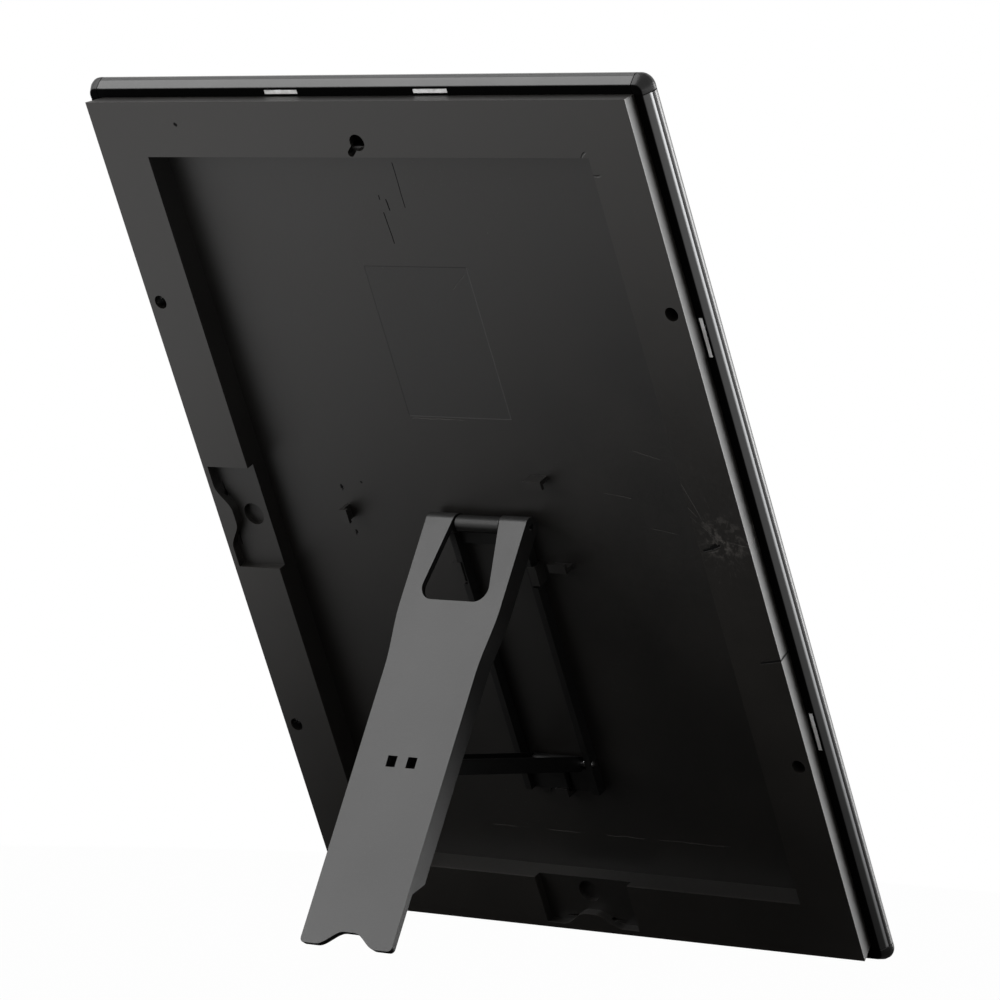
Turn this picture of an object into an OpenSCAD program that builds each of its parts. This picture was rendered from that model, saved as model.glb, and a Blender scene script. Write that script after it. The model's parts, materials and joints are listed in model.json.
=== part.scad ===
// A4 snap frame seen from behind, standing on its folding strut.
// It is modelled upright, with the back rim's plane at y = 0, the front towards -Y, the strut towards +Y and
// the tray's bottom edge at z = 0. The whole frame is then leaned back until the tray's bottom edge and the
// strut's foot stand on z = 0. In the rail profiles, x runs outwards from the tray's rim (e) and y runs from
// the rim's plane to the front (d). The rails' e starts at the line where the tray seats.

/* [Tray] */
// Width of the back tray at its rim
tray_w = 216; // [205:1:240]
// Height of the back tray at its rim
tray_h = 305; // [300:1:330]
// Width of the raised border round the recess
border_w = 19.5; // [18.5:0.5:24]
// Depth of the recess from the rim to its floor
recess_depth = 8.5; // [8:0.1:9.5]
// Wall thickness of the tray's floor and border
tray_wall = 2; // [1.6:0.1:2.4]
// How far the tray's outer side leans inwards
side_draft = 1.5; // [0.8:0.1:2]
// Gap between the cover sheet's side edges and the rails' seat line
sheet_side_gap = 4; // [2.9:0.1:5]
// Gap between the cover sheet's top and bottom edges and the rails' seat line
sheet_end_gap = 4; // [2.9:0.1:5]
// Thickness of the clear cover sheet
sheet_t = 0.5; // [0.3:0.1:0.6]

/* [Fixings] */
// Radius of the four screw holes in the border
screw_hole_r = 2.4; // [1.5:0.1:2.8]
// Distance of the screw holes from the tray's side edge
screw_hole_inset = 4.8; // [4.6:0.1:6]
// Height of the screw holes above and below the middle
screw_hole_rise = 80.3; // [50:0.1:110]
// Radius of the keyhole's round
keyhole_r = 2.85; // [2:0.05:3.5]
// Distance of the keyhole's centre from the top edge
keyhole_drop = 14.4; // [12:0.1:15]
// Width of the keyhole's slot
keyhole_slot_w = 2.4; // [1.5:0.1:3]
// Length of the keyhole's slot from the round's centre
keyhole_slot_len = 6.4; // [5:0.1:7]

/* [Rails] */
// Room for the tray across the frame: the tray lies against its left side
play_w = 2.5; // [0:0.1:4]
// Room for the tray down the frame: the tray lies against its top side
play_h = 2.4; // [0:0.1:4]
// How far the rails stand out past the line where the tray seats
rail_out = 3.5; // [3.3:0.1:4]
// Width of the rails' front face
rail_w = 15; // [14:0.5:17]
// Depth of the frame from the tray's rim to the rails' front
frame_d = 14.2; // [14.2:0.1:15.5]
// Wall thickness of the snap rails
snap_wall = 1.2; // [1:0.1:1.3]
// Radius of the rails' rounded outer edge
rail_round = 3; // [2.8:0.1:3.2]
// Length of a corner cap along each side
cap_len = 5.6; // [5.2:0.1:8]
// Radius of the frame's rounded corners
corner_r = 4.4; // [3.8:0.1:4.8]
// Radius of the snap rail's hinge bead
bead_r = 1.4; // [1.2:0.1:1.4]
// Gap round the hinge bead, seen outside as the seam
bead_gap = 0.25; // [0.15:0.05:0.3]

/* [Springs] */
// Length of a leaf spring and its window along the rail
spring_len = 13.7; // [8:0.1:20]
// Thickness of the spring leaf
spring_t = 0.4; // [0.2:0.05:0.45]
// Distance of the top and bottom springs from the middle of the side
spring_at_ends = 30; // [20:1:60]
// Distance of the side springs from the middle of the side
spring_at_sides = 70; // [30:1:110]

/* [Strut] */
// Angle between the leg and the back panel
leg_open = 52.7; // [48:0.1:58]
// Length of the leg from its top edge to its foot
leg_len = 150; // [145:0.5:151]
// Half width of the leg at the hinge
leg_half_top = 20.4; // [20:0.1:22]
// Half width of the leg at the foot
leg_half_foot = 18.5; // [18:0.1:18.6]
// Depth of the leg's side flanges
leg_depth = 6.5; // [6:0.1:7]
// Plate thickness of the leg
leg_plate = 2; // [1.6:0.1:2.4]
// Height of the hinge above the recess floor
hinge_rise = 4.25; // [4.1:0.05:4.6]
// Half width of the base's hinge barrel
barrel_half = 8.8; // [7:0.1:8.8]
// Radius of the hinge pin
hinge_pin_r = 1.25; // [1:0.05:1.5]
// Radius of the stay's pin
stay_pin_r = 1; // [0.8:0.05:1.1]
// Half width of the stay
stay_half = 10.5; // [9:0.1:10.9]
// Depth of the stay's side flanges
stay_depth = 5; // [4.6:0.1:5.1]
// Distance of the stay's pivot below the leg's hinge
stay_pivot_drop = 90; // [89:0.1:91]

/* [Hidden] */
$fn = 48;

// Shared small sizes: an overrun for cuts, a seating gap between fixed pieces, a gap between moving pieces
// and the running clearance of a pin in its bore
over = 1;
seat_gap = 0.1;
move_gap = 0.15;
pin_gap = 0.05;

// Order of the four sides, each a quarter turn from the last
TOP = 0;
RIGHT = 1;
BOTTOM = 2;
LEFT = 3;

// Depths of the layers from the rim's plane
tray_side_d = 6.9;
ledge_d = tray_side_d + seat_gap;
ledge_t = 1.2;
channel_d = ledge_d + ledge_t;
floor_back_d = recess_depth;
floor_front_d = floor_back_d + tray_wall;
sheet_back_d = floor_front_d + seat_gap;
sheet_front_d = sheet_back_d + sheet_t;
lip_d = sheet_front_d + move_gap;

// Rail profile
window_e = rail_out - rail_w;
front_inner_d = frame_d - snap_wall;
round_e = rail_out - rail_round;
round_d = frame_d - rail_round;
hinge_e = rail_out - bead_r;
hinge_d = round_d;
socket_r = bead_r + bead_gap;
socket_wall = 0.7;
socket_from = -50;
socket_to = -220;
ledge_edge_e = 1.6;
ledge_edge_d = 0.4;
ledge_chamfer = 0.6;
ledge_web_w = 1.2;
rail_inner_e = window_e - over;
upstand_w = snap_wall;
lip_round = 0.8;
catch_e = -2.6;
catch_w = 1;
catch_gap = 1.6;
catch_len = front_inner_d - channel_d - catch_gap;

// Leaf spring and its window in the ledge
spring_window_e = -1.1;
spring_window_w = 1.8;
spring_foot_d = ledge_d + spring_t;
spring_run_d = channel_d + spring_t;
spring_back_e = -4.6;
spring_bow_e = -5.2;
spring_tip_d = floor_front_d - spring_t;
spring_tip_e = catch_e - move_gap - spring_t / 2;

// Corner cap
cap_inner_e = rail_out - cap_len;
corner_e = rail_out - corner_r;
tongue_w = 1.4;
tongue_len = 8;
tongue_e = ledge_edge_e - ledge_web_w - seat_gap - tongue_w;
tongue_clear = pow(socket_r + socket_wall + seat_gap, 2) - pow(hinge_e - tongue_e - tongue_w, 2);
tongue_d = hinge_d - sqrt(max(tongue_clear, 0)) - channel_d - seat_gap;

// Leg, measured from its top edge (s) and from the hinge axis (u)
axis_s = leg_depth / 2;
knuckle_r = leg_depth / 2;
knuckle_w = 4;
leg_flange = 1.8;
waist_from = 33;
waist_to = 56;
flange_end = 125;
flange_taper = 5;
window_top_half = barrel_half + seat_gap;
window_half = 13.5;
window_end_s = 31.4;
window_round = 5;
foot_round = 1.5;
notch_half = 7;
notch_flank = 10;
notch_depth = 4.8;
lug_in = 2.2;
lug_out = 5.9;
lug_hole_s = 85.5;
lug_hole_len = 3.8;

// Hinge axis on the upright frame
hinge_z = tray_h / 2;
hinge_y = -(recess_depth - hinge_rise);

// Strut base
barrel_step = 0.5;
barrel_r = knuckle_r - barrel_step;
rib_in = 12.75;
rib_w = 2.4;
rib_h = 3.9;
base_half = rib_in + rib_w;
base_top = 3.4;
crossbar_h = 2;
crossbar_len = 5.2;
end_plate_len = 8.5;
end_plate_gap = 0.5;
finger_half = 2.5;
finger_h = 3.5;
finger_slot = 1.2;
rib_notch_from = 14.9;
rib_notch_len = 8.2;
rib_notch_h = 2.7;

// Wall round the screw holes
screw_boss_wall = 1.6;

// How much wider than the screw holes the holes in the rails behind them are
rail_hole_gap = 0.6;

// Hooks on the recess floor
hook_len = 7;
hook_t = 1.5;
hook_lip = 1.6;
hook_lip_t = 1.2;
hook_h = 4.3;
side_hook_at = 18.5;
end_hook_w = 5;
pip_r = 0.7;
pip_h = 0.3;
pip_at = 8.4;

// Stay: its pivot, its angle and its length follow from the leg's square holes
stay_pin_h = 2.3;
stay_barrel_r = 2.1;
base_len = stay_pivot_drop + stay_barrel_r + end_plate_gap + end_plate_len;
finger_len = end_plate_len - end_plate_gap;
stay_plate = 1.4;
stay_flange = 1.4;
stay_tip_gap = 0.3;
lug_len = 2.2;
lug_gap = 0.25;
pivot_z = hinge_z - stay_pivot_drop;
pivot_y = -(recess_depth - stay_pin_h);
hole_u = lug_hole_s + lug_hole_len / 2 - axis_s;
hole_v = axis_s - leg_plate;
hole_y = hinge_y + hole_u * sin(leg_open) + hole_v * cos(leg_open);
hole_z = hinge_z - hole_u * cos(leg_open) + hole_v * sin(leg_open);
stay_angle = atan2(hole_y - pivot_y, hole_z - pivot_z);
stay_len = norm([hole_y - pivot_y, hole_z - pivot_z]);
stay_end_tilt = leg_open + stay_angle - 90;

// Pockets in the border for the leg's foot
pocket_side_gap = 0.5;
pocket_half = leg_half_foot + pocket_side_gap;
pocket_depth = 3;
pocket_rim = 2;
pocket_floor = 1.8;
pocket_bulge = notch_depth;
foot_gap = 3.3;
dimple_r = 4;
dimple_wall = 1.2;
dimple_depth = 2;
dimple_in = 14;
side_dimple_in = 13.1;

// Line where the tray seats in the rails: its size and its middle
seat_w = tray_w + play_w;
seat_h = tray_h + play_h;
seat_x = play_w / 2;
seat_z = (tray_h - play_h) / 2;

// Lean of the frame, so that it stands on the inner edge of the foot and on the tray's bottom edge or the
// bottom rail's round, whichever is lower
foot_u = leg_len - axis_s;
foot_y = hinge_y + foot_u * sin(leg_open) + hole_v * cos(leg_open);
foot_z = hinge_z - foot_u * cos(leg_open) + hole_v * sin(leg_open);
round_z = -play_h - round_e;
foot_run = [foot_y + round_d, foot_z - round_z];
lean_on_tray = atan2(foot_z, foot_y);
lean_on_rail = atan2(foot_run[1], foot_run[0]) + asin(rail_round / norm(foot_run));
lean = max(lean_on_tray, lean_on_rail);
stand_z = foot_y * sin(lean) - foot_z * cos(lean);
back_y = tray_h * sin(lean);
front_y = round_z * sin(lean) - round_d * cos(lean) - rail_round;
centre_shift = -(back_y + front_y) / 2;

// Half lengths of the two kinds of side
function half_side(side) = (side == TOP || side == BOTTOM) ? seat_h / 2 : seat_w / 2;
function half_run(side) = (side == TOP || side == BOTTOM) ? seat_w / 2 : seat_h / 2;
function spring_at(side) = (side == TOP || side == BOTTOM) ? spring_at_ends : spring_at_sides;

// Points of an arc, from angle a to angle b
function arc(x, y, r, a, b, steps = 12) =
    [for (i = [0:steps]) [x + r * cos(a + (b - a) * i / steps), y + r * sin(a + (b - a) * i / steps)]];

// Smooth share from 0 to 1
function blend_share(t) = (1 - cos(180 * t)) / 2;

// Half width of the leg at a distance s from its top edge
function leg_half(s) =
    s <= waist_from ? leg_half_top :
    s >= waist_to ? leg_half_foot :
    leg_half_top + (leg_half_foot - leg_half_top) * blend_share((s - waist_from) / (waist_to - waist_from));

// Stands the upright frame on its foot and its bottom edge
module posed() {
    translate([0, centre_shift, stand_z]) rotate([-lean, 0, 0]) children();
}

// Puts a profile run, drawn with x outwards, y to the front and z along the side, on one side of the seat
module on_side(side) {
    translate([seat_x, 0, seat_z]) rotate([0, 90 * side, 0]) translate([0, 0, half_side(side)])
        rotate(a = 180, v = [1, 0, 1]) children();
}

// A bar of one thickness between two points of a profile, with round ends
module bar(p, q, t) {
    run = norm(q - p);
    translate(p) rotate(atan2(q[1] - p[1], q[0] - p[0])) translate([0, -t / 2]) square([run, t]);
    translate(p) circle(d = t, $fn = 24);
    translate(q) circle(d = t, $fn = 24);
}

// Plan of a rail: square against the corner caps, then mitred to the window
module rail_plan(side, gap) {
    run = half_run(side);
    outer_run = run + cap_inner_e - gap;
    inner_run = run + rail_inner_e - gap;
    translate([0, frame_d + over, 0]) rotate([90, 0, 0]) linear_extrude(frame_d + 2 * over)
        polygon([
            [rail_out + over, -outer_run], [rail_out + over, outer_run], [cap_inner_e, outer_run],
            [rail_inner_e, inner_run], [rail_inner_e, -inner_run], [cap_inner_e, -outer_run]
        ]);
}

// Profile of a base rail: ledge, flared outer lip, the snap rail's socket and an upstand under the sheet
module base_profile() {
    web_e = ledge_edge_e - ledge_web_w;
    wall_r = socket_r + socket_wall;
    web_angle = acos((hinge_e - web_e) / wall_r) - 180;
    difference() {
        polygon(concat(
            [
                [rail_inner_e, ledge_d],
                [ledge_edge_e - ledge_chamfer, ledge_d],
                [ledge_edge_e, ledge_d + ledge_edge_d],
                [hinge_e + socket_r * cos(socket_from), hinge_d + socket_r * sin(socket_from)],
                [hinge_e, hinge_d]
            ],
            arc(hinge_e, hinge_d, wall_r, socket_to, web_angle),
            [
                [web_e, channel_d],
                [rail_inner_e + upstand_w, channel_d],
                [rail_inner_e + upstand_w, floor_front_d],
                [rail_inner_e, floor_front_d]
            ]
        ));
        translate([hinge_e, hinge_d]) circle(r = socket_r);
    }
}

// Profile of a snap rail: hinge bead, rounded outside, flat front, pressing lip and spring catch
module snap_profile() {
    translate([hinge_e, hinge_d]) circle(r = bead_r);
    polygon(concat(
        arc(round_e, round_d, rail_round, 0, 90),
        [[round_e, front_inner_d]],
        arc(round_e, round_d, rail_round - snap_wall, 90, 0)
    ));
    translate([window_e + lip_round, front_inner_d]) square([round_e - window_e - lip_round, snap_wall]);
    translate([window_e, lip_d]) square([snap_wall, frame_d - lip_round - lip_d]);
    intersection() {
        translate([window_e + lip_round, frame_d - lip_round]) circle(r = lip_round);
        translate([window_e, frame_d - lip_round]) square([lip_round, lip_round]);
    }
    translate([window_e + lip_round, front_inner_d - over]) square([snap_wall - lip_round, snap_wall + over]);
    translate([catch_e, front_inner_d - catch_len]) square([catch_w, catch_len + snap_wall]);
}

// Profile of the part of a corner cap that lies outside the centre of the rounded corner
module cap_profile() {
    polygon(concat(
        [
            [0, ledge_d], [ledge_edge_e - ledge_chamfer - corner_e, ledge_d],
            [ledge_edge_e - corner_e, ledge_d + ledge_edge_d],
            [hinge_e + socket_r * cos(socket_from) - corner_e, hinge_d + socket_r * sin(socket_from)]
        ],
        arc(round_e - corner_e, round_d, rail_round, 0, 90),
        [[0, frame_d]]
    ));
}

// Plan of a pocket for the leg's foot, seen from behind, opening downwards into the recess at y = 0
module pocket_plan(grow = 0) {
    depth = border_w - pocket_rim;
    flank = notch_flank / 2;
    difference() {
        translate([-pocket_half - grow, -over]) square([2 * (pocket_half + grow), depth + over + grow]);
        polygon(concat(
            [for (i = [0:12])
                [-notch_half - flank + 2 * flank * i / 12,
                 depth - grow - (pocket_bulge - 2 * grow) * blend_share(i / 12)]],
            [for (i = [0:12])
                [notch_half - flank + 2 * flank * i / 12,
                 depth - grow - (pocket_bulge - 2 * grow) * (1 - blend_share(i / 12))]],
            [[notch_half + flank, depth + grow + over], [-notch_half - flank, depth + grow + over]]
        ));
    }
}

// Puts a pocket's plan on the bottom border or on the side border, cut from depth d0 to depth d1
module on_pockets(d0, d1) {
    translate([0, -d0, border_w]) rotate([90, 180, 0]) linear_extrude(d1 - d0) children();
    translate([tray_w / 2 - border_w, -d0, hinge_z]) rotate([90, 90, 0]) linear_extrude(d1 - d0) children();
}

// Puts a shape, drawn upwards from the tray's front edge at z = 0, at each of the four screw holes
module on_screws() {
    for (sx = [-1, 1], sz = [-1, 1])
        translate([sx * (tray_w / 2 - screw_hole_inset), -tray_side_d, hinge_z + sz * screw_hole_rise])
            rotate([-90, 0, 0]) children();
}

// Puts a shape, drawn upwards from a depth at z = 0, at the dimple of each pocket
module on_dimples(depth) {
    for (place = [[0, dimple_in], [tray_w / 2 - side_dimple_in, hinge_z]])
        translate([place[0], -depth, place[1]]) rotate([-90, 0, 0]) children();
}

// Outside of the tray: its rim's rectangle, drafted inwards towards the front
module tray_outside() {
    front_w = tray_w / 2 - side_draft;
    intersection() {
        linear_extrude(tray_h) polygon([
            [-tray_w / 2, 0], [tray_w / 2, 0], [front_w, -tray_side_d], [-front_w, -tray_side_d]
        ]);
        translate([-tray_w / 2, 0, 0]) rotate([90, 0, 90]) linear_extrude(tray_w) polygon([
            [0, 0], [0, tray_h], [-tray_side_d, tray_h - side_draft], [-tray_side_d, side_draft]
        ]);
    }
}

// A hook on the floor: a post with a lip over the base's edge, drawn at the origin with the lip towards +X
module hook(length) {
    translate([0, 0, -length / 2]) cube([hook_t, hook_h, length]);
    translate([0, hook_h - hook_lip_t, -length / 2]) cube([hook_t + hook_lip, hook_lip_t, length]);
}

// The three hooks that hold the strut's base, from the hinge's place down, standing on y = 0
module hook_set() {
    for (s = [-1, 1])
        mirror([s > 0 ? 1 : 0, 0, 0]) translate([-base_half - seat_gap - hook_t, 0, -side_hook_at])
            hook(hook_len);
    translate([0, 0, -base_len - seat_gap - hook_t]) rotate([0, -90, 0]) hook(end_hook_w);
}

// Small moulding pips beside the end hook
module pips() {
    for (s = [-1, 1])
        translate([s * pip_at, 0, -base_len - hook_t]) rotate([-90, 0, 0]) cylinder(r = pip_r, h = pip_h);
}

module back_panel() {
    inner_w = tray_w - 2 * border_w;
    inner_h = tray_h - 2 * border_w;
    rib_pitch = tray_w / 5;
    hollow = tray_wall + side_draft;
    landscape_x = pocket_rim + foot_gap + foot_u;
    color([0.13, 0.13, 0.135]) posed() difference() {
        union() {
            difference() {
                tray_outside();
                // Hollow in front of the border, with ribs, bosses and the pockets' floors left standing
                difference() {
                    translate([-tray_w / 2 + hollow, -tray_side_d - over, hollow])
                        cube([tray_w - 2 * hollow, tray_side_d + over - tray_wall, tray_h - 2 * hollow]);
                    for (i = [-1.5:1.5])
                        translate([i * rib_pitch - tray_wall / 2, -tray_side_d, 0])
                            cube([tray_wall, tray_side_d, tray_h]);
                    for (i = [-2.5:2.5])
                        translate([-tray_w / 2, -tray_side_d, tray_h / 2 + i * rib_pitch - tray_wall / 2])
                            cube([tray_w, tray_side_d, tray_wall]);
                    on_pockets(0, pocket_depth + pocket_floor) pocket_plan(pocket_floor);
                    on_screws() cylinder(r = screw_hole_r + screw_boss_wall, h = tray_side_d);
                    on_dimples(pocket_depth + dimple_depth + dimple_wall)
                        cylinder(r = dimple_r + dimple_wall, h = tray_side_d);
                }
            }
            translate([-inner_w / 2 - tray_wall, -floor_front_d, border_w - tray_wall])
                cube([inner_w + 2 * tray_wall, floor_front_d, inner_h + 2 * tray_wall]);
        }
        // Recess
        difference() {
            translate([-inner_w / 2, -floor_back_d, border_w]) cube([inner_w, floor_back_d + over, inner_h]);
            translate([0, -floor_back_d, hinge_z]) {
                hook_set();
                pips();
            }
            translate([tray_w / 2 - landscape_x, -floor_back_d, hinge_z]) rotate([0, -90, 0]) {
                hook_set();
                pips();
            }
        }
        // Pockets and their dimples
        on_pockets(-over, pocket_depth) pocket_plan();
        on_dimples(pocket_depth + dimple_depth) cylinder(r = dimple_r, h = dimple_depth + over);
        on_screws() translate([0, 0, -over]) cylinder(r = screw_hole_r, h = tray_side_d + 2 * over);
        // Keyhole in the border: a round with a slot at 45 degrees
        translate([0, -tray_wall - over, tray_h - keyhole_drop]) rotate([-90, 0, 0]) {
            cylinder(r = keyhole_r, h = tray_wall + 2 * over);
            rotate(45) translate([0, -keyhole_slot_w / 2, 0])
                cube([keyhole_slot_len - keyhole_slot_w / 2, keyhole_slot_w, tray_wall + 2 * over]);
            rotate(45) translate([keyhole_slot_len - keyhole_slot_w / 2, 0, 0])
                cylinder(d = keyhole_slot_w, h = tray_wall + 2 * over);
        }
    }
}

module cover_sheet() {
    w = seat_w - 2 * sheet_side_gap;
    h = seat_h - 2 * sheet_end_gap;
    color([0.85, 0.9, 0.92, 0.35]) posed()
        translate([seat_x - w / 2, -sheet_front_d, seat_z - h / 2]) cube([w, sheet_t, h]);
}

module base_rail(side) {
    run = half_run(side);
    color([0.16, 0.16, 0.165]) posed() on_side(side) intersection() {
        difference() {
            translate([0, 0, -run]) linear_extrude(2 * run) base_profile();
            for (s = [-1, 1])
                translate([spring_window_e, ledge_d - over, s * spring_at(side) - spring_len / 2])
                    cube([spring_window_w, ledge_t + 2 * over, spring_len]);
            // Holes that continue the tray's screw holes
            if (side == LEFT || side == RIGHT) for (s = [-1, 1]) {
                in = side == RIGHT ? screw_hole_inset + play_w : screw_hole_inset;
                along = side == RIGHT ? seat_z - hinge_z : hinge_z - seat_z;
                translate([-in, ledge_d - over, s * screw_hole_rise + along]) rotate([-90, 0, 0])
                    cylinder(r = screw_hole_r + rail_hole_gap, h = ledge_t + 2 * over);
            }
        }
        rail_plan(side, seat_gap);
    }
}

module snap_rail(side) {
    run = half_run(side);
    color([0.2, 0.2, 0.21]) posed() on_side(side) intersection() {
        translate([0, 0, -run]) linear_extrude(2 * run) snap_profile();
        rail_plan(side, move_gap);
    }
}

// A corner cap, drawn with its two sides towards +X and +Z from the seat's corner, then mirrored into place
module corner_cap(sx, sz) {
    straight = cap_len - corner_r;
    channel = channel_d + seat_gap;
    color([0.15, 0.15, 0.155]) posed()
        translate([seat_x + sx * seat_w / 2, 0, seat_z + sz * seat_h / 2])
        mirror([sx < 0 ? 1 : 0, 0, 0]) mirror([0, 0, sz < 0 ? 1 : 0]) {
            translate([corner_e, 0, corner_e]) rotate([90, 0, 0]) rotate_extrude(angle = 90, $fn = 64)
                cap_profile();
            translate([cap_inner_e, -frame_d, cap_inner_e]) cube([straight, frame_d - ledge_d, straight]);
            for (turn = [0, 1]) mirror([turn, 0, -turn]) {
                translate([corner_e, 0, cap_inner_e]) mirror([0, 1, 0])
                    linear_extrude(straight) cap_profile();
                translate([tongue_e, -channel - tongue_d, cap_inner_e - tongue_len])
                    cube([tongue_w, tongue_d, tongue_len + over]);
            }
        }
}

// The two leaf springs of one side: a foot in the ledge's window and a bowed leaf that presses on the catch
module springs(side) {
    bow_d = (spring_run_d + spring_tip_d) / 2;
    foot_in = spring_window_e + spring_t;
    foot_out = spring_window_e + spring_window_w - spring_t / 2 - seat_gap;
    color([0.62, 0.62, 0.6]) posed() on_side(side) for (s = [-1, 1])
        translate([0, 0, s * spring_at(side) - spring_len / 2 + seat_gap])
            linear_extrude(spring_len - 2 * seat_gap) {
                bar([foot_out, spring_foot_d], [foot_in, spring_foot_d], spring_t);
                bar([foot_in, spring_foot_d], [foot_in, spring_run_d], spring_t);
                bar([foot_in, spring_run_d], [spring_back_e, spring_run_d], spring_t);
                bar([spring_back_e, spring_run_d], [spring_bow_e, bow_d], spring_t);
                bar([spring_bow_e, bow_d], [spring_back_e, spring_tip_d], spring_t);
                bar([spring_back_e, spring_tip_d], [spring_tip_e, spring_tip_d], spring_t);
            }
}

// Strut base: two ribs joined by a crossbar with the hinge barrel and by an end plate with a latch finger.
// It is drawn from the hinge axis down, standing on y = 0.
module strut_base() {
    foot = seat_gap / 2;
    barrel_y = hinge_rise;
    color([0.12, 0.12, 0.125]) posed() translate([0, -recess_depth, hinge_z]) difference() {
        union() {
            for (s = [-1, 1])
                translate([s > 0 ? rib_in : -base_half, foot, -base_len])
                    cube([rib_w, rib_h - foot, base_len - base_top]);
            translate([-base_half, foot, -base_top - crossbar_len])
                cube([2 * base_half, crossbar_h - foot, crossbar_len]);
            translate([-barrel_half, foot, -base_top - crossbar_len])
                cube([2 * barrel_half, crossbar_h - foot, base_top + crossbar_len]);
            translate([-barrel_half, foot, -barrel_r]) cube([2 * barrel_half, barrel_y - foot, barrel_r]);
            translate([-barrel_half, barrel_y, 0]) rotate([0, 90, 0])
                cylinder(r = barrel_r, h = 2 * barrel_half);
            translate([-base_half, foot, -base_len]) cube([2 * base_half, crossbar_h - foot, end_plate_len]);
            translate([-finger_half, foot, -base_len]) cube([2 * finger_half, finger_h - foot, finger_len]);
        }
        // Bore for the hinge pin
        translate([-barrel_half - over, barrel_y, 0]) rotate([0, 90, 0])
            cylinder(r = hinge_pin_r + pin_gap, h = 2 * (barrel_half + over));
        // Bores for the stay's pin in the ribs
        translate([-base_half - over, stay_pin_h, -stay_pivot_drop]) rotate([0, 90, 0])
            cylinder(r = stay_pin_r + pin_gap, h = 2 * (base_half + over));
        // Slots beside the latch finger
        for (s = [-1, 1])
            translate([s > 0 ? finger_half : -finger_half - finger_slot, -over, -base_len - over])
                cube([finger_slot, rib_h + 2 * over, finger_len + over]);
        // Notches under the hooks' lips
        for (s = [0, 1]) mirror([s, 0, 0])
            translate([base_half - hook_lip - seat_gap, rib_notch_h, -rib_notch_from - rib_notch_len])
                cube([hook_lip + seat_gap + over, rib_h, rib_notch_len]);
        // The finger's end steps down under the end hook's lip
        translate([-end_hook_w, crossbar_h, -base_len - over])
            cube([2 * end_hook_w, rib_h, hook_lip + seat_gap + over]);
    }
}

// Outline of the leg: x across, y down from its top edge
module leg_outline(inset = 0) {
    steps = 10;
    flank = notch_flank / 2;
    right = [for (i = [0:steps])
        let (s = waist_from + (waist_to - waist_from) * i / steps) [leg_half(s) - inset, s]];
    notch = [for (i = [0:12])
        [notch_half + flank - 2 * flank * i / 12, leg_len - notch_depth * blend_share(i / 12)]];
    half = concat(
        [[leg_half_top - inset, 0]], right,
        arc(leg_half_foot - inset - foot_round, leg_len - foot_round, foot_round, 0, 90, 4),
        notch
    );
    back = [for (i = [len(half) - 1:-1:0]) [-half[i][0], half[i][1]]];
    polygon(concat(half, back));
}

// Window between the leg's arms, open at the top where the barrel sits
module leg_window() {
    polygon(concat(
        [[-window_top_half, -over], [window_top_half, -over], [window_top_half, 0]],
        arc(window_half - window_round, window_end_s - window_round, window_round, 0, 90, 8),
        arc(-window_half + window_round, window_end_s - window_round, window_round, 90, 180, 8),
        [[-window_top_half, 0]]
    ));
}

// Side view of the leg: x down from the hinge axis, y outwards
module leg_side() {
    circle(r = knuckle_r);
    polygon([
        [0, axis_s], [leg_len - axis_s, axis_s], [leg_len - axis_s, axis_s - leg_plate],
        [flange_end + flange_taper - axis_s, axis_s - leg_plate], [flange_end - axis_s, -axis_s], [0, -axis_s]
    ]);
}

// Turns a plan with x across and y down into a prism through the leg's depth, round the hinge axis
module through_leg(depth_from, depth) {
    translate([0, depth_from + depth, axis_s]) rotate([90, 0, 0]) mirror([0, 1, 0])
        linear_extrude(depth) children();
}

module leg_knuckles() {
    for (s = [-1, 1])
        translate([s > 0 ? window_top_half + seat_gap : -window_top_half - seat_gap - knuckle_w, 0, 0])
            rotate([0, 90, 0]) cylinder(r = knuckle_r, h = knuckle_w);
}

module strut_leg() {
    plate_v = axis_s - leg_plate;
    color([0.22, 0.215, 0.225]) posed()
        translate([0, hinge_y, hinge_z]) rotate([leg_open, 0, 0]) difference() {
        union() {
            difference() {
                intersection() {
                    through_leg(-knuckle_r - over, leg_depth + 2 * over) leg_outline();
                    translate([-leg_half_top - over, 0, 0]) rotate([90, 90, 90])
                        linear_extrude(2 * (leg_half_top + over)) leg_side();
                }
                // Hollow between the side flanges
                through_leg(-knuckle_r - 2 * over, plate_v + knuckle_r + 2 * over) intersection() {
                    leg_outline(leg_flange);
                    translate([-leg_half_top, -over])
                        square([2 * leg_half_top, flange_end + flange_taper + over]);
                }
            }
            leg_knuckles();
        }
        through_leg(-knuckle_r - over, leg_depth + 2 * over) leg_window();
        // Square holes for the stay's lugs
        for (s = [-1, 1])
            through_leg(-knuckle_r - over, leg_depth + 2 * over)
                translate([s > 0 ? lug_in : -lug_out, lug_hole_s]) square([lug_out - lug_in, lug_hole_len]);
        translate([-leg_half_top, 0, 0]) rotate([0, 90, 0])
            cylinder(r = hinge_pin_r + pin_gap, h = 2 * leg_half_top);
    }
}

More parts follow.
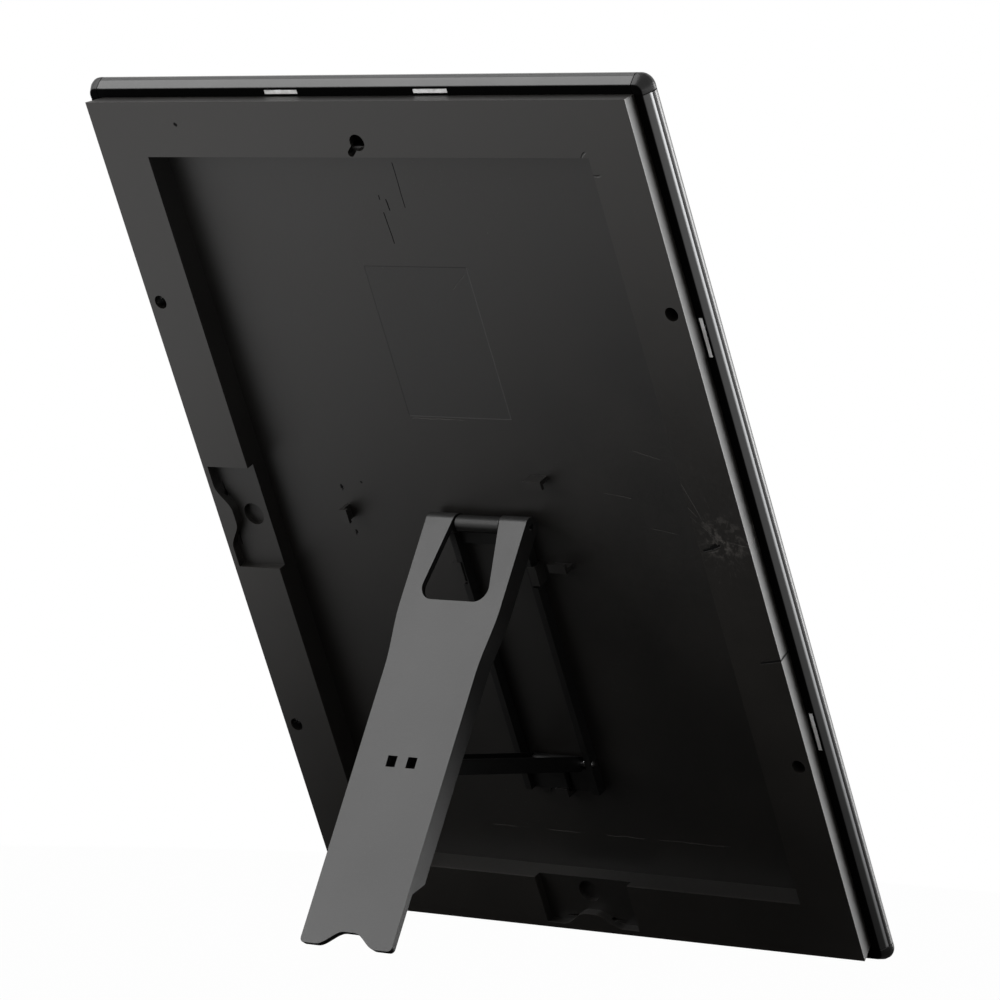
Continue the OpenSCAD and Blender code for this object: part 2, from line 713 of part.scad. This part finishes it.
// Stay, drawn stowed along +Z from its pivot, with its plate outwards
module strut_stay() {
    far = stay_len + stay_depth;
    outer_y = stay_depth - stay_barrel_r;
    color([0.11, 0.11, 0.115]) posed()
        translate([0, pivot_y, pivot_z]) rotate([-stay_angle, 0, 0]) difference() {
        union() {
            translate([-stay_half, 0, 0]) rotate([0, 90, 0]) cylinder(r = stay_barrel_r, h = 2 * stay_half);
            translate([-stay_half, outer_y - stay_plate, 0]) cube([2 * stay_half, stay_plate, far]);
            for (s = [-1, 1])
                translate([s > 0 ? stay_half - stay_flange : -stay_half, outer_y - stay_depth, 0])
                    cube([stay_flange, stay_depth, far]);
        }
        translate([-stay_half - over, 0, 0]) rotate([0, 90, 0])
            cylinder(r = stay_pin_r + pin_gap, h = 2 * (stay_half + over));
        // The end is cut parallel to the leg's inner face, back from the lugs
        translate([0, 0, stay_len]) rotate([stay_end_tilt, 0, 0]) {
            translate([-stay_half - over, -far, -stay_tip_gap]) cube([2 * (stay_half + over), 2 * far, far]);
            for (span = [
                [-stay_half - over, -lug_out + lug_gap], [-lug_in - lug_gap, lug_in + lug_gap],
                [lug_out - lug_gap, stay_half + over]
            ])
                translate([span[0], -far, -stay_tip_gap - lug_len]) cube([span[1] - span[0], 2 * far, far]);
        }
    }
}

module strut_hinge_pin() {
    half = window_top_half + seat_gap + knuckle_w;
    color([0.6, 0.6, 0.62]) posed() translate([-half, hinge_y, hinge_z]) rotate([0, 90, 0])
        cylinder(r = hinge_pin_r, h = 2 * half);
}

module strut_stay_pin() {
    color([0.6, 0.6, 0.62]) posed() translate([-base_half, pivot_y, pivot_z]) rotate([0, 90, 0])
        cylinder(r = stay_pin_r, h = 2 * base_half);
}

back_panel();
cover_sheet();
base_rail(TOP);  // base_rail_top
base_rail(BOTTOM);  // base_rail_bottom
base_rail(LEFT);  // base_rail_left
base_rail(RIGHT);  // base_rail_right
snap_rail(TOP);  // snap_rail_top
snap_rail(BOTTOM);  // snap_rail_bottom
snap_rail(LEFT);  // snap_rail_left
snap_rail(RIGHT);  // snap_rail_right
corner_cap(-1, 1);  // corner_cap_top_left
corner_cap(1, 1);  // corner_cap_top_right
corner_cap(-1, -1);  // corner_cap_bottom_left
corner_cap(1, -1);  // corner_cap_bottom_right
springs(TOP);  // springs_top
springs(BOTTOM);  // springs_bottom
springs(LEFT);  // springs_left
springs(RIGHT);  // springs_right
strut_base();
strut_leg();
strut_stay();
strut_hinge_pin();
strut_stay_pin();
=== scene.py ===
"""Finish of an A4 snap frame seen from behind: moulded tray, anodised rails, steel springs and the strut."""
import json
import math

import bpy
from mathutils import Matrix, Vector

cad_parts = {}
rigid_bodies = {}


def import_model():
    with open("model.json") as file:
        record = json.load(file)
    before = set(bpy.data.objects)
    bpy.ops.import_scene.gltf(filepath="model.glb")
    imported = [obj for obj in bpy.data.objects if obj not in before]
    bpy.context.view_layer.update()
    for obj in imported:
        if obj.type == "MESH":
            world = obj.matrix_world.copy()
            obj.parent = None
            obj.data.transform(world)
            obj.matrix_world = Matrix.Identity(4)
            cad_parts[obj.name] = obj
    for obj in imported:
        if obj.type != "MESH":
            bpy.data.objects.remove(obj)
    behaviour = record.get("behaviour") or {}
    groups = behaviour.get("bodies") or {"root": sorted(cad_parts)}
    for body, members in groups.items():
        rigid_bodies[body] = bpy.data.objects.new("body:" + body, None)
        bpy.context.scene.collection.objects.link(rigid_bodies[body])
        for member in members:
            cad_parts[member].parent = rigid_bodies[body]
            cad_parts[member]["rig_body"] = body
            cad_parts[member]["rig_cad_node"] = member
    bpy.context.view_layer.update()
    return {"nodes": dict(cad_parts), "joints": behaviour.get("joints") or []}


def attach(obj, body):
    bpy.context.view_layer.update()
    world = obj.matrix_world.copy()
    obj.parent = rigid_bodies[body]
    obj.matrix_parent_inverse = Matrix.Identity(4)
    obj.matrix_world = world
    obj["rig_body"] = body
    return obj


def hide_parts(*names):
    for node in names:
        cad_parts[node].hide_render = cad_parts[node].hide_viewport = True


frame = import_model()
nodes = frame["nodes"]
joints = {joint["name"]: joint for joint in frame["joints"]}

# Millimetre in the scene's metres
MM = 0.001

# Tray's height and the leg hinge's place on the upright frame, in metres
TRAY_H = 305 * MM
HINGE_Y = -4.25 * MM
HINGE_Z = TRAY_H / 2

# Camera, given on the upright frame, before it leans back: place, directions, sensor and lens in millimetres, and the
# nearest and farthest that it sees in metres
CAMERA_AT = (-1074.7 * MM, 1191.9 * MM, 860.0 * MM)
CAMERA_FORWARD = (0.6092, -0.6849, -0.3997)
CAMERA_UP = (0.0404, -0.4766, 0.8782)
CAMERA_SENSOR = 36.0
CAMERA_LENS = 196.05
CAMERA_REACH = (0.01, 60)

# Lean and place of the upright frame in the scene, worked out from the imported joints
lean_axis = joints["snap_rail_right_hinge"]["axis"]
LEAN = math.atan2(lean_axis[1], lean_axis[2])
turn = Matrix.Rotation(-LEAN, 4, "X")
hinge_at = Vector(joints["leg_hinge"]["pos_m"])
UPRIGHT = Matrix.Translation(hinge_at - turn @ Vector((0, HINGE_Y, HINGE_Z))) @ turn
ACROSS = Vector((1, 0, 0))
BACK = turn @ Vector((0, 1, 0))
UP = turn @ Vector((0, 0, 1))

# Marks on the tray's back: where each starts and ends, across and up the upright tray, and its width, in millimetres
CRACKS = (
    ((-4.1, 279.6), (-4.0, 264.1), 0.34), ((2.8, 266.7), (2.5, 263.1), 0.5),
    ((5.2, 262.1), (4.6, 251.4), 0.42), ((5.3, 268.2), (5.3, 266.9), 0.4),
    ((-100.2, 109.9), (-108.2, 111.4), 0.75), ((-90.2, 149.8), (-96.6, 151.9), 0.9),
    ((72.3, 296.9), (72.6, 297.1), 1.3), ((17.2, 130.1), (17.4, 130.3), 1.0),
    ((48.9, 163.4), (49.1, 163.6), 0.8), ((58.0, 161.5), (58.2, 162.1), 1.0),
    ((57.4, 144.5), (57.6, 145.1), 1.0), ((-93.4, 150.9), (-95.2, 152.0), 1.5),
)
SCRATCHES = (
    ((-50.0, 164.0), (-60.0, 162.6), 0.3), ((-61.0, 152.6), (-84.0, 148.6), 0.32),
    ((-66.0, 180.0), (-76.0, 177.0), 0.3), ((-88.0, 175.0), (-93.0, 160.0), 0.3),
    ((-83.0, 172.0), (-91.0, 162.0), 0.3), ((-13.0, 235.2), (-22.0, 242.6), 0.3),
    ((-84.0, 166.0), (-98.0, 153.0), 0.28), ((19.0, 188.5), (-1.9, 188.4), 0.4),
    ((40.0, 33.6), (-60.0, 33.4), 0.3), ((-91.4, 149.3), (-96.2, 150.7), 0.5),
    ((-98.0, 154.0), (-108.0, 152.0), 0.4),
)
# Middle of the worn patch, middle and radius of the mould pin's ring, and the plain field, in the same millimetres
WORN_AT = (-99.0, 154.0)
RING_AT = (-89.6, 283.6)
RING_R = 4.2
FIELD = ((-21.3, 20.0), (189.2, 243.2))
FIELD_BLEND = 0.2
# Depths on the upright frame, in millimetres: from the recess to the rim's face, and across the side rails' lip, past
# which its outer part carries a painted highlight
RIM_DEPTHS = (-1.2, -0.3)
HIGHLIGHT_DEPTHS = (-9.6, -8.9)
# Depth behind which the base rails and caps are blacked out as painted shade, the same for the snap rails, and how
# softly it begins
BASE_PAINTED_SHADE_FROM = -7.3
SNAP_PAINTED_SHADE_FROM = -10.9
PAINTED_SHADE_BLEND = 0.12

# Closed pocket moulded behind the keyhole, in millimetres on the upright tray: across, depth and up, each from and to
POCKET = ((-6.5, 16.0), (-6.8, -2.1), (287.8, 300.0))
POCKET_WALL = 0.7
POCKET_ROUND = 1.2

# How a CAD mesh is cleaned and smoothed: distance in millimetres, the rest as angles
MERGE_WITHIN = 0.002
FLAT_WITHIN = math.radians(0.6)
EDGE_FROM = math.radians(35)
SMOOTH_UP_TO = math.radians(50)

# Paper floor: its side, its drop below the object and where its painted shade, seen only in reflections, turns white,
# in metres, and how white the camera sees it
FLOOR_SIDE = 24
FLOOR_DROP = 0.0002
FLOOR_FADE = (0.1, 0.38)
FLOOR_WHITE = 0.985
# Lamps: direction from the frame's middle, distance and side in metres, and brightness of the face
LAMPS = (
    ("left_lamp", (0.75, 0.62, 0.2), 1.4, 0.5, 5.0),
    ("top_lamp", (0.5, 0.45, 0.74), 1.7, 1.2, 2.95),
    ("rear_lamp", (-0.66, -0.74, 0.06), 1.8, 1.3, 9.0),
    ("side_lamp", (-0.96, 0.05, -0.1), 0.75, 0.3, 2.0),
)
# Strength of the white room as a light, where 1 is what the camera sees of it
ROOM_FILL = 0.08


class Value:
    """A shader socket with operators, so that masks are written as plain sums and products."""

    def __init__(self, maker, socket):
        self.maker = maker
        self.socket = socket

    def math(self, operation, *others, clamp=False):
        return self.maker.node("ShaderNodeMath", {"operation": operation, "use_clamp": clamp},
                               dict(enumerate((self,) + others)))

    def __add__(self, other):
        return self.math("ADD", other)

    __radd__ = __add__

    def __mul__(self, other):
        return self.math("MULTIPLY", other)

    __rmul__ = __mul__

    def __sub__(self, other):
        return self.math("SUBTRACT", other)

    def __rsub__(self, other):
        return self.maker.node("ShaderNodeMath", {"operation": "SUBTRACT"}, {0: other, 1: self})

    def __pow__(self, other):
        return self.math("POWER", other)

    def clamp(self):
        return self.math("ADD", 0.0, clamp=True)

    def step(self, low, high):
        """0 below low, 1 above high, with a soft rise between."""
        return self.maker.node("ShaderNodeMapRange", {"interpolation_type": "SMOOTHSTEP"},
                               {"Value": self, "From Min": low, "From Max": high})

    def past(self, at, blend):
        """0 before a place, 1 past it, with a soft rise of blend to each side."""
        return self.step(at - blend, at + blend)

    def between(self, low, high, blend):
        """1 from low to high and 0 outside, with soft ends."""
        return self.past(low, blend) * (1 - self.past(high, blend))


class Nodes:
    """A node tree under construction."""

    def __init__(self, tree):
        self.tree = tree

    def node(self, kind, settings, inputs, output=0):
        made = self.tree.nodes.new(kind)
        for key, value in settings.items():
            setattr(made, key, value)
        for key, value in inputs.items():
            self.feed(made.inputs[key], value)
        return Value(self, made.outputs[output])

    def feed(self, socket, value):
        if isinstance(value, Value):
            self.tree.links.new(value.socket, socket)
        else:
            socket.default_value = value

    def shown_white(self):
        """1 for the rays that show the background, straight or in a reflection."""
        straight, mirrored, through = [
            self.node("ShaderNodeLightPath", {}, {}, kind)
            for kind in ("Is Camera Ray", "Is Glossy Ray", "Is Transmission Ray")]
        return (straight + mirrored + through).clamp()


class Finish(Nodes):
    """A material under construction: one principled shader and the nodes that feed it."""

    def __init__(self, name):
        self.material = bpy.data.materials.new(name)
        self.material.use_nodes = True
        super().__init__(self.material.node_tree)
        self.shader = self.tree.nodes["Principled BSDF"]
        self.place = self.node("ShaderNodeTexCoord", {}, {}, "Object")

    def set(self, **sockets):
        for key, value in sockets.items():
            self.feed(self.shader.inputs[key.replace("_", " ")], value)

    def covered(self, share, cover):
        """Another shader over the finish's own, where share is 1."""
        mixed = self.node("ShaderNodeMixShader", {}, {0: share, 1: Value(self, self.shader.outputs[0]), 2: cover})
        self.tree.links.new(mixed.socket, self.tree.nodes["Material Output"].inputs["Surface"])

    def unlit(self, share):
        """Painted shade: deep black with no sheen where share is 1, standing for a groove that no light reaches."""
        self.covered(share, self.node("ShaderNodeBsdfPrincipled", {}, {
            "Base Color": grey(0.0012), "Roughness": 0.9, "Specular IOR Level": 0.04}))

    def mapped(self, scale, turned=(0, 0, 0)):
        return self.node("ShaderNodeMapping", {}, {"Vector": self.place, "Scale": scale, "Rotation": turned})

    def noise(self, size, detail=3.0, rough=0.5, at=None):
        """Noise whose features are about size metres across."""
        return self.node("ShaderNodeTexNoise", {}, {
            "Vector": at or self.place, "Scale": 1 / size, "Detail": detail, "Roughness": rough}, "Fac")

    def mix(self, share, a, b):
        return self.node("ShaderNodeMix", {"data_type": "RGBA"}, {"Factor": share, 6: a, 7: b}, 2)

    def along(self, way):
        """Distance in millimetres along a direction, from the upright frame's origin."""
        reach = self.node("ShaderNodeVectorMath", {"operation": "DOT_PRODUCT"}, {0: self.place, 1: tuple(way)}, "Value")
        return (reach - UPRIGHT.translation.dot(way)) * (1 / MM)

    def joined(self, x, y):
        """A vector from two values."""
        return self.node("ShaderNodeCombineXYZ", {}, {0: x, 1: y})

    def stroke(self, u, v, start, end, width):
        """1 on a fine line from start to end."""
        run = (end[0] - start[0], end[1] - start[1])
        square = run[0] ** 2 + run[1] ** 2
        share = ((u - start[0]) * (run[0] / square) + (v - start[1]) * (run[1] / square)).clamp()
        off_u = u - start[0] - share * run[0]
        off_v = v - start[1] - share * run[1]
        return 1 - length(off_u, off_v).step(width * 0.25, width * 0.6)

    def strokes(self, u, v, lines):
        """1 on any of several fine lines."""
        total = self.stroke(u, v, *lines[0])
        for line in lines[1:]:
            total = total.math("MAXIMUM", self.stroke(u, v, *line))
        return total

    def bump(self, height, distance, strength=1.0, normal=None):
        inputs = {"Height": height, "Distance": distance, "Strength": strength}
        if normal:
            inputs["Normal"] = normal
        return self.node("ShaderNodeBump", {}, inputs, "Normal")


def length(u, v):
    """Length of the way that u and v make together."""
    return (u * u + v * v) ** 0.5


def grey(level, warmth=0.0):
    """A neutral colour, a little warmer or cooler."""
    return (level * (1 + warmth), level, level * (1 - warmth), 1.0)


def moulded_plastic(name, level, rough, spec, warmth=0.0, dust=0.25, painted_shade_from=None):
    """Black moulded plastic: fine grain, soft cloudy wear, thin hairline scuffs, a little dust and, if a depth is
    given, painted shade behind it.
    """
    made = Finish(name)
    cloud = made.noise(0.035, 4.0, 0.55)
    fleck = made.noise(0.0011, 2.0, 0.6)
    dusty = made.noise(0.0006, 1.0).step(0.70, 0.76) * cloud.step(0.45, 0.65) * dust
    scuff = made.noise(0.004, 2.0, 0.5, made.mapped((1, 1, 14), (0.3, 0.5, 0.6))).step(0.64, 0.72)
    shade = cloud.step(0.3, 0.7) * 0.6 + fleck * 0.4
    base = made.mix(shade, grey(level * 0.86, warmth), grey(level * 1.14, warmth))
    base = made.mix((dusty + scuff * 0.12).clamp(), base, grey(level * 3.2 + 0.03, warmth))
    made.set(Base_Color=base, Specular_IOR_Level=spec,
             Roughness=rough + (cloud - 0.5) * 0.16 + scuff * 0.06 + (fleck - 0.5) * 0.08)
    grained = made.bump(made.noise(0.0009, 2.0, 0.6), 0.00003, 0.55)
    made.set(Normal=made.bump(cloud, 0.0004, 0.25, grained))
    # Painted shade: black with no sheen behind the given depth, where the part lies in shade
    if painted_shade_from is not None:
        made.unlit(made.along(BACK).past(painted_shade_from, PAINTED_SHADE_BLEND))
    return made.material


def worn_patch(made, across, up, fleck):
    """Pale rays and smudges that thin out from one knock near the edge."""
    off_u, off_v = across - WORN_AT[0], up - WORN_AT[1]
    reach = length(off_u, off_v)
    angle = made.node("ShaderNodeMath", {"operation": "ARCTAN2"}, {0: off_v, 1: off_u})
    rays = made.noise(1.0, 3.0, 0.7, made.joined(angle * 9, reach * 0.05)).step(0.56, 0.72)
    smudge = made.noise(0.003, 4.0, 0.7).step(0.48, 0.66) * (1 - reach.step(2, 13))
    return (rays * (1 - reach.step(5, 30)) * 0.5 * fleck.step(0.35, 0.6) + smudge * 0.8).clamp()


def pin_ring(across, up):
    """Part of a ring, left by a mould pin."""
    off_u, off_v = across - RING_AT[0], up - RING_AT[1]
    off = (length(off_u, off_v) - RING_R).math("ABSOLUTE")
    return (1 - off.step(0.1, 0.45)) * (off_u - off_v * 0.4).step(-0.6, 1.2)


def tray_plastic(name):
    """The tray's black plastic: a brighter rim face, a matter recess with a plain field, worn marks and cracks, with
    painted shade in the cracks and along two of the field's edges.
    """
    made = Finish(name)
    across, depth, up = made.along(ACROSS), made.along(BACK), made.along(UP)
    rim = depth.step(*RIM_DEPTHS)
    cloud = made.noise(0.045, 4.0, 0.55)
    patch = made.noise(0.012, 3.0, 0.6)
    fleck = made.noise(0.0012, 2.0, 0.6)
    grit = made.noise(0.0007, 1.0)
    # Wobble that keeps the marks from looking drawn with a ruler
    sway = (made.noise(0.006, 2.0) - 0.5) * 1.1
    cracks = made.strokes(across + sway * 0.5, up + sway * 0.5, CRACKS)
    scratches = made.strokes(across + sway, up + sway, SCRATCHES) * patch.step(0.38, 0.6)
    worn = worn_patch(made, across, up, fleck)
    ring = pin_ring(across, up) * rim
    # Painted shade: the field's right and top edges show as fine blackened lines, the shaded sides of its step
    (left, right), (low, high) = FIELD
    field = across.between(left, right, FIELD_BLEND) * up.between(low, high, FIELD_BLEND) * (1 - rim)
    edge = made.strokes(across, up, (((right, low), (right, high), 0.6), ((left, high), (right, high), 0.4)))
    shade = (cloud.step(0.3, 0.7) * 0.5 + patch * 0.2 + fleck * 0.3).clamp()
    inner = made.mix(shade, grey(0.0012, 0.3), grey(0.006, 0.25))
    outer = made.mix(shade, grey(0.010, 0.14), grey(0.020, 0.12))
    base = made.mix(rim, inner, outer)
    base = made.mix(field * 0.4, base, grey(0.006, 0.02))
    base = made.mix((worn * 0.32 + scratches * 0.13).clamp(), base, grey(0.35, 0.08))
    speck = grit.step(0.72, 0.78) * cloud.step(0.5, 0.7) * 0.3
    base = made.mix(speck, base, grey(0.12, 0.03))
    # Cracks and the mould pin's ring are darkened as marks, and the field's edge lines as painted shade
    base = made.mix((cracks + ring * 0.7 + edge * 0.4).clamp(), base, grey(0.002))
    rough = 0.46 + rim * -0.05 + (cloud - 0.5) * 0.14 + (fleck - 0.5) * 0.1 + worn * 0.2 + cracks * 0.3 + field * 0.05
    made.set(Base_Color=base, Roughness=rough, Specular_IOR_Level=0.62)
    grained = made.bump(made.noise(0.0008, 2.0, 0.6), 0.00003, 0.5)
    cut = made.bump(1 - (cracks * 0.3 + ring * 0.6 + scratches * 0.2).clamp() - field * 0.3, 0.00025, 0.8, grained)
    made.set(Normal=made.bump(cloud, 0.0005, 0.2, cut))
    # Painted shade: the cracks are also blacked out with no sheen, for the shade down in them
    made.unlit(cracks * 0.85)
    return made.material


def anodised_rail(name, level, painted_shade_from, painted_shade_share=1.0, rubbed=0.0):
    """Black anodised aluminium, drawn along the rail, blacked out behind the given depth as painted shade, and if
    wished with its lip's outer part turned pale bright metal as a painted highlight.
    """
    made = Finish(name)
    depth = made.along(BACK)
    line = made.noise(0.0005, 2.0, 0.5, made.mapped((1, 1, 0.04)))
    cloud = made.noise(0.02, 3.0)
    scuff = made.noise(0.003, 3.0, 0.6).step(0.66, 0.8)
    shade = (cloud * 0.5 + line * 0.5).clamp()
    base = made.mix(shade, grey(level * 0.8), grey(level * 1.25, 0.02))
    base = made.mix(scuff * 0.25, base, grey(level * 4))
    # Painted highlight: past the lip's given depth the rail turns pale bright metal, standing for the reflection band
    # on its outer part
    if rubbed:
        highlight_share = 1 - depth.step(*HIGHLIGHT_DEPTHS)
        base = made.mix(highlight_share, base, grey(rubbed, -0.015))
        made.set(Metallic=highlight_share)
    made.set(Base_Color=base, Specular_IOR_Level=0.65,
             Roughness=0.34 + (line - 0.5) * 0.12 + (cloud - 0.5) * 0.1 + scuff * 0.08,
             Normal=made.bump(line, 0.00001, 0.4))
    # Painted shade: black with no sheen behind the given depth, by the given share
    made.unlit(depth.past(painted_shade_from, PAINTED_SHADE_BLEND) * painted_shade_share)
    return made.material


def spring_steel(name, level, rough):
    """Rolled strip or drawn wire: grey metal with fine lines and faint oil stains."""
    made = Finish(name)
    line = made.noise(0.0003, 2.0, 0.5, made.mapped((0.1, 1, 1)))
    stain = made.noise(0.006, 3.0, 0.6)
    made.set(Base_Color=made.mix(stain.step(0.35, 0.7), grey(level * 0.8, 0.01), grey(level * 1.1)),
             Metallic=1.0, Roughness=rough + (line - 0.5) * 0.15, Normal=made.bump(line, 0.00001, 0.3))
    return made.material


def clear_sheet(name):
    """Clear cover sheet: smooth plastic with very faint waves."""
    made = Finish(name)
    made.set(Base_Color=(0.5, 0.52, 0.53, 1.0), Alpha=0.12, IOR=1.5, Roughness=0.05 + made.noise(0.05, 2.0) * 0.05,
             Normal=made.bump(made.noise(0.06, 2.0), 0.0002, 0.3))
    return made.material


def floor_paper(name):
    """Paper that is white to the camera and far out, and near black close to the object, where the object mirrors it:
    painted shade seen only in reflections.
    """
    made = Finish(name)
    # Painted shade: near-black paper, which only reflections show close to the object
    made.set(Base_Color=(0.06, 0.059, 0.058, 1.0), Roughness=0.85 + made.noise(0.3) * 0.1)
    out = made.node("ShaderNodeVectorMath", {"operation": "LENGTH"}, {0: made.place}, "Value")
    glow = made.node("ShaderNodeEmission", {}, {"Color": (1, 1, 1, 1), "Strength": 1.0})
    seen = made.node("ShaderNodeLightPath", {}, {}, "Is Camera Ray")
    share = made.shown_white() * out.step(*FLOOR_FADE)
    made.covered(share.math("MAXIMUM", seen * FLOOR_WHITE), glow)
    return made.material


TRAY = tray_plastic("tray_plastic")
STRUT = moulded_plastic("strut_plastic", 0.009, 0.36, 0.55, warmth=0.03)
BASE = moulded_plastic("strut_base_plastic", 0.006, 0.4, 0.36, warmth=0.03)
# Painted shade: the stay's plastic is given a darker colour than the leg's, for the shade that it lies in
SHADED_STAY = moulded_plastic("stay_plastic", 0.003, 0.44, 0.2, dust=0.1)
CAP = moulded_plastic("cap_plastic", 0.004, 0.34, 0.3, painted_shade_from=BASE_PAINTED_SHADE_FROM)
BASE_RAIL = anodised_rail("base_rail_anodised", 0.016, BASE_PAINTED_SHADE_FROM)
SNAP_RAIL = anodised_rail("snap_rail_anodised", 0.016, SNAP_PAINTED_SHADE_FROM, painted_shade_share=0.35)
# Painted shade and highlight: the side base rails are darker than the top and bottom ones, with their lip's outer part
# pale bright metal
BASE_SIDE = anodised_rail("base_rail_side_anodised", 0.006, BASE_PAINTED_SHADE_FROM, rubbed=0.5)
SNAP_SIDE = anodised_rail("snap_rail_side_anodised", 0.02, SNAP_PAINTED_SHADE_FROM, painted_shade_share=0.0)
SPRING = spring_steel("spring_steel", 0.95, 0.8)
PIN = spring_steel("pin_steel", 0.5, 0.28)
SHEET = clear_sheet("clear_sheet")

# Finish and width of the softened edges in millimetres, by how a CAD node's name starts, the longer starts first
FINISHES = (
    ("back_panel", TRAY, 0.35), ("cover_sheet", SHEET, 0), ("corner_cap", CAP, 0.25), ("springs", SPRING, 0.06),
    ("strut_base", BASE, 0.2), ("strut_leg", STRUT, 0.35), ("strut_hinge_pin", PIN, 0.2),
    ("strut_stay_pin", PIN, 0.2), ("strut_stay", SHADED_STAY, 0.25),
    ("base_rail_left", BASE_SIDE, 0.08), ("base_rail_right", BASE_SIDE, 0.08), ("base_rail", BASE_RAIL, 0.08),
    ("snap_rail_left", SNAP_SIDE, 0.08), ("snap_rail_right", SNAP_SIDE, 0.08), ("snap_rail", SNAP_RAIL, 0.08),
)


def finish_for(node):
    return next((material, width) for start, material, width in FINISHES if node.startswith(start))


def select_only(piece):
    bpy.ops.object.select_all(action="DESELECT")
    piece.select_set(True)
    bpy.context.view_layer.objects.active = piece


def soften(piece, width):
    """Rounds a piece's sharp edges, as a mould or a die leaves them."""
    bevel = piece.modifiers.new("edges", "BEVEL")
    bevel.width = width * MM
    bevel.segments = 2
    bevel.limit_method = "ANGLE"
    bevel.angle_limit = EDGE_FROM
    bpy.ops.object.modifier_apply(modifier="edges")


def dress(node):
    """A copy of a CAD node with merged points and softened edges, which stands for the node."""
    material, width = finish_for(node)
    body = nodes[node]["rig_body"]
    piece = nodes[node].copy()
    piece.data = nodes[node].data.copy()
    piece.name = node + "_finished"
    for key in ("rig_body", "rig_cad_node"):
        del piece[key]
    piece.parent = None
    bpy.context.scene.collection.objects.link(piece)
    select_only(piece)
    bpy.ops.object.mode_set(mode="EDIT")
    bpy.ops.mesh.select_all(action="SELECT")
    bpy.ops.mesh.remove_doubles(threshold=MERGE_WITHIN * MM)
    bpy.ops.mesh.dissolve_limited(angle_limit=FLAT_WITHIN)
    bpy.ops.object.mode_set(mode="OBJECT")
    if width:
        soften(piece, width)
    bpy.ops.object.shade_smooth_by_angle(angle=SMOOTH_UP_TO)
    weigh = piece.modifiers.new("even", "WEIGHTED_NORMAL")
    weigh.keep_sharp = True
    bpy.ops.object.modifier_apply(modifier="even")
    piece.data.materials.clear()
    piece.data.materials.append(material)
    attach(piece, body)
    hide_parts(node)


def build_keyhole_pocket():
    """The thin closed cup behind the keyhole, which the CAD tray lacks, so that no light shows through it."""
    bpy.ops.mesh.primitive_cube_add(size=1)
    cup = bpy.context.object
    cup.name = "keyhole_pocket"
    middle = Vector([(low + high) / 2 for low, high in POCKET]) * MM
    size = Vector([high - low for low, high in POCKET]) * MM
    cup.matrix_world = UPRIGHT @ Matrix.LocRotScale(middle, None, size)
    select_only(cup)
    bpy.ops.object.transform_apply(location=True, rotation=True, scale=True)
    bpy.ops.object.mode_set(mode="EDIT")
    bpy.ops.mesh.select_mode(type="FACE")
    bpy.ops.mesh.select_all(action="DESELECT")
    bpy.ops.object.mode_set(mode="OBJECT")
    # The side towards the border is left open
    for face in cup.data.polygons:
        face.select = face.normal.dot(BACK) > 0.9
    bpy.ops.object.mode_set(mode="EDIT")
    bpy.ops.mesh.delete(type="FACE")
    bpy.ops.object.mode_set(mode="OBJECT")
    bevel = cup.modifiers.new("edges", "BEVEL")
    bevel.width = POCKET_ROUND * MM
    bevel.segments = 3
    bpy.ops.object.modifier_apply(modifier="edges")
    skin = cup.modifiers.new("skin", "SOLIDIFY")
    skin.thickness = POCKET_WALL * MM
    bpy.ops.object.modifier_apply(modifier="skin")
    bpy.ops.object.shade_smooth_by_angle(angle=SMOOTH_UP_TO)
    cup.data.materials.append(TRAY)
    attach(cup, "frame")


def build_camera():
    """The photograph's camera, set on the leaning frame."""
    forward = (turn @ Vector(CAMERA_FORWARD)).normalized()
    up = (turn @ Vector(CAMERA_UP)).normalized()
    right = forward.cross(up).normalized()
    up = right.cross(forward)
    place = Matrix((
        (right.x, up.x, -forward.x, 0), (right.y, up.y, -forward.y, 0), (right.z, up.z, -forward.z, 0), (0, 0, 0, 1)
    ))
    data = bpy.data.cameras.new("camera")
    data.sensor_fit = "HORIZONTAL"
    data.sensor_width = CAMERA_SENSOR
    data.lens = CAMERA_LENS
    data.clip_start, data.clip_end = CAMERA_REACH
    camera = bpy.data.objects.new("camera", data)
    camera.matrix_world = Matrix.Translation(UPRIGHT @ Vector(CAMERA_AT)) @ place
    bpy.context.scene.collection.objects.link(camera)
    bpy.context.scene.camera = camera


def build_stage():
    """Paper floor under the object."""
    bpy.ops.mesh.primitive_plane_add(size=FLOOR_SIDE, location=(0, 0, -FLOOR_DROP))
    floor = bpy.context.object
    floor.name = "floor"
    floor.data.materials.append(floor_paper("floor_paper"))


def softbox(name, way, distance, side, strength):
    """A square lamp whose face has the given brightness, seen from the frame's middle in the direction way."""
    way = Vector(way).normalized()
    data = bpy.data.lights.new(name, "AREA")
    data.shape = "SQUARE"
    data.size = side
    data.energy = strength * math.pi * side * side
    lamp = bpy.data.objects.new(name, data)
    lamp.visible_camera = False
    lamp.location = Vector((0, 0, TRAY_H / 2)) + way * distance
    lamp.rotation_euler = way.to_track_quat("Z", "Y").to_euler()
    bpy.context.scene.collection.objects.link(lamp)


def build_light():
    """Four soft lamps, in a room that shows white and lights the object only faintly."""
    for lamp in LAMPS:
        softbox(*lamp)
    world = bpy.data.worlds.new("studio")
    bpy.context.scene.world = world
    world.use_nodes = True
    room = Nodes(world.node_tree)
    background = world.node_tree.nodes["Background"]
    background.inputs["Color"].default_value = (1, 1, 1, 1)
    room.feed(background.inputs["Strength"], ROOM_FILL + room.shown_white() * (1 - ROOM_FILL))


def main():
    build_camera()
    build_stage()
    build_light()
    for node in sorted(nodes):
        dress(node)
    build_keyhole_pocket()
    scene = bpy.context.scene
    scene.view_settings.view_transform = "Standard"


main()
